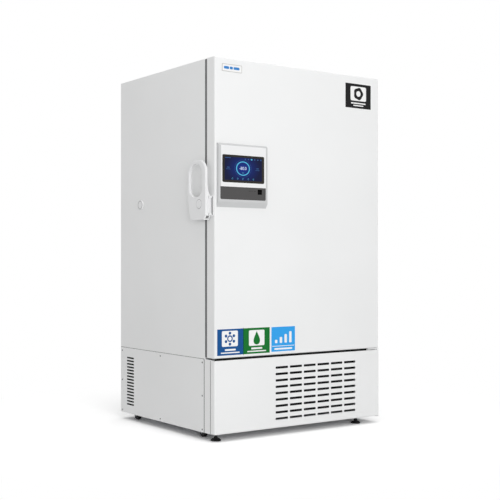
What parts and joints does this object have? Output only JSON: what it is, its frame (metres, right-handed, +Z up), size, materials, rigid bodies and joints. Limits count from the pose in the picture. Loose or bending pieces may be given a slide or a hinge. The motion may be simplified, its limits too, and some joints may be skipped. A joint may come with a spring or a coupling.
{
  "type": "ultra low temperature freezer",
  "caption": "Upright ultra low temperature laboratory freezer with one outer door, a lever handle, a touch display, foamed inner doors and a vented machine compartment on casters.",
  "frame": {"origin": "middle of the whole outline on the floor, with the handle, display and hinges counted", "axes": "+Z up, -Y is the front with the outer door, +X to the right seen from the front"},
  "size_m": [1.2, 1.026, 1.985],
  "materials": {
    "case_white": "semi-gloss white paint",
    "hinge_white": "semi-gloss white paint",
    "foam": "closed-cell rigid foam",
    "vacuum_foil": "metallised film",
    "liner_steel": "fine brushed",
    "breaker_plastic": "matte",
    "inner_door_white": "matte",
    "gasket_grey": "matte",
    "display_white": "satin",
    "screen_glass": "dark gloss",
    "strip_grey": "gloss",
    "handle_white": "satin",
    "lock_metal": "polished",
    "pin_steel": "bright",
    "zinc_steel": "zinc plated",
    "coil_aluminium": "mill finish",
    "shroud_black": "matte black paint",
    "fan_black": "matte",
    "filter_black": "open mesh",
    "copper": "bright copper colour",
    "wrap_black": "foam wrap",
    "box_grey": "matte",
    "inlet_black": "matte",
    "port_white": "matte",
    "caster_steel": "zinc plated",
    "tyre_black": "matte",
    "foot_black": "matte"
  },
  "bodies": {
    "cabinet": {"left_side_panel": "case_white", "right_side_panel": "case_white", "top_panel": "case_white", "bottom_panel": "zinc_steel", "rear_panel": "case_white", "cabinet_insulation": "foam", "vacuum_panels": "vacuum_foil", "inner_liner": "liner_steel", "breaker_frame": "breaker_plastic", "inner_divider": "breaker_plastic", "shelves": "liner_steel", "shelf_rails": "liner_steel", "evaporator_coil": "copper", "port_sleeve": "port_white", "latch_keeper": "zinc_steel", "hinge_brackets": "hinge_white", "hinge_pins": "pin_steel", "front_frame": "case_white", "lower_side_panels": "case_white", "lower_rear_panel": "case_white", "base_frame": "zinc_steel", "condenser": "coil_aluminium", "fan_shroud": "shroud_black", "fan_motor": "shroud_black", "dust_filter": "filter_black", "compressor_low_stage": "shroud_black", "compressor_high_stage": "shroud_black", "oil_separator": "shroud_black", "cascade_heat_exchanger": "wrap_black", "filter_drier": "copper", "refrigerant_lines": "copper", "control_box": "box_grey", "power_inlet": "inlet_black"},
    "door": {"door_skin": "case_white", "door_liner": "breaker_plastic", "door_insulation": "foam", "door_gasket": "gasket_grey", "door_hinge_leaves": "hinge_white", "display_housing": "display_white", "touch_screen": "screen_glass", "reader_strip": "strip_grey", "handle_base": "handle_white"},
    "handle": {"handle_lever": "handle_white"},
    "lock": {"lock_cylinder": "lock_metal"},
    "upper_inner_door": {"inner_door_upper": "inner_door_white"},
    "lower_inner_door": {"inner_door_lower": "inner_door_white"},
    "front_cover": {"service_panel": "case_white"},
    "port_plug": {"port_cap": "port_white"},
    "impeller": {"fan_blades": "fan_black"},
    "rocker": {"switch_rocker": "inlet_black"},
    "left_foot": {"foot_left": "foot_black"},
    "right_foot": {"foot_right": "foot_black"},
    "fork_front_left": {"caster_fork_front_left": "caster_steel"},
    "wheel_front_left": {"caster_wheel_front_left": "tyre_black"},
    "fork_front_right": {"caster_fork_front_right": "caster_steel"},
    "wheel_front_right": {"caster_wheel_front_right": "tyre_black"},
    "fork_rear_left": {"caster_fork_rear_left": "caster_steel"},
    "wheel_rear_left": {"caster_wheel_rear_left": "tyre_black"},
    "fork_rear_right": {"caster_fork_rear_right": "caster_steel"},
    "wheel_rear_right": {"caster_wheel_rear_right": "tyre_black"}
  },
  "joints": [
    {"name": "main_door", "type": "hinge", "parent": "cabinet", "child": "door", "pos_m": [0.591, -0.413, 1.2], "axis": [0, 0, 1], "range_deg": [0, 115]},
    {"name": "handle_turn", "type": "hinge", "parent": "door", "child": "handle", "pos_m": [-0.57, -0.466, 1.219], "axis": [0, 0, 1], "range_deg": [0, 40]},
    {"name": "lock_turn", "type": "hinge", "parent": "handle", "child": "lock", "pos_m": [-0.598, -0.404, 1.229], "axis": [-1, 0, 0], "range_deg": [0, 90]},
    {"name": "upper_door_swing", "type": "hinge", "parent": "cabinet", "child": "upper_inner_door", "pos_m": [0.461, -0.378, 1.54475], "axis": [0, 0, 1], "range_deg": [0, 90]},
    {"name": "lower_door_swing", "type": "hinge", "parent": "cabinet", "child": "lower_inner_door", "pos_m": [0.461, -0.378, 0.86425], "axis": [0, 0, 1], "range_deg": [0, 90]},
    {"name": "front_cover_swing", "type": "hinge", "parent": "cabinet", "child": "front_cover", "pos_m": [0.571, -0.485, 0.23], "axis": [0, 0, 1], "range_deg": [0, 100]},
    {"name": "port_plug_pull", "type": "slide", "parent": "cabinet", "child": "port_plug", "axis": [-1, 0, 0], "range_m": [0, 0.06]},
    {"name": "fan_spin", "type": "hinge", "parent": "cabinet", "child": "impeller", "pos_m": [0.115, -0.32, 0.236], "axis": [0, 1, 0], "continuous": true},
    {"name": "switch_press", "type": "hinge", "parent": "cabinet", "child": "rocker", "pos_m": [0.405, 0.507, 0.35], "axis": [1, 0, 0], "range_deg": [0, 18]},
    {"name": "left_foot_screw", "type": "slide", "parent": "cabinet", "child": "left_foot", "axis": [0, 0, -1], "range_m": [0, 0.02]},
    {"name": "right_foot_screw", "type": "slide", "parent": "cabinet", "child": "right_foot", "axis": [0, 0, -1], "range_m": [0, 0.02]},
    {"name": "swivel_front_left", "type": "hinge", "parent": "cabinet", "child": "fork_front_left", "pos_m": [-0.5, -0.319, 0.06], "axis": [0, 0, 1], "continuous": true},
    {"name": "roll_front_left", "type": "hinge", "parent": "fork_front_left", "child": "wheel_front_left", "pos_m": [-0.5, -0.299, 0.027], "axis": [1, 0, 0], "continuous": true},
    {"name": "swivel_front_right", "type": "hinge", "parent": "cabinet", "child": "fork_front_right", "pos_m": [0.52, -0.319, 0.06], "axis": [0, 0, 1], "continuous": true},
    {"name": "roll_front_right", "type": "hinge", "parent": "fork_front_right", "child": "wheel_front_right", "pos_m": [0.52, -0.299, 0.027], "axis": [1, 0, 0], "continuous": true},
    {"name": "swivel_rear_left", "type": "hinge", "parent": "cabinet", "child": "fork_rear_left", "pos_m": [-0.5, 0.391, 0.06], "axis": [0, 0, 1], "continuous": true},
    {"name": "roll_rear_left", "type": "hinge", "parent": "fork_rear_left", "child": "wheel_rear_left", "pos_m": [-0.5, 0.411, 0.027], "axis": [1, 0, 0], "continuous": true},
    {"name": "swivel_rear_right", "type": "hinge", "parent": "cabinet", "child": "fork_rear_right", "pos_m": [0.52, 0.391, 0.06], "axis": [0, 0, 1], "continuous": true},
    {"name": "roll_rear_right", "type": "hinge", "parent": "fork_rear_right", "child": "wheel_rear_right", "pos_m": [0.52, 0.411, 0.027], "axis": [1, 0, 0], "continuous": true}
  ],
  "couplings": [
    {"joint": "upper_door_swing", "follows": "main_door", "ratio": 0.7826},
    {"joint": "lower_door_swing", "follows": "main_door", "ratio": 0.7826}
  ]
}
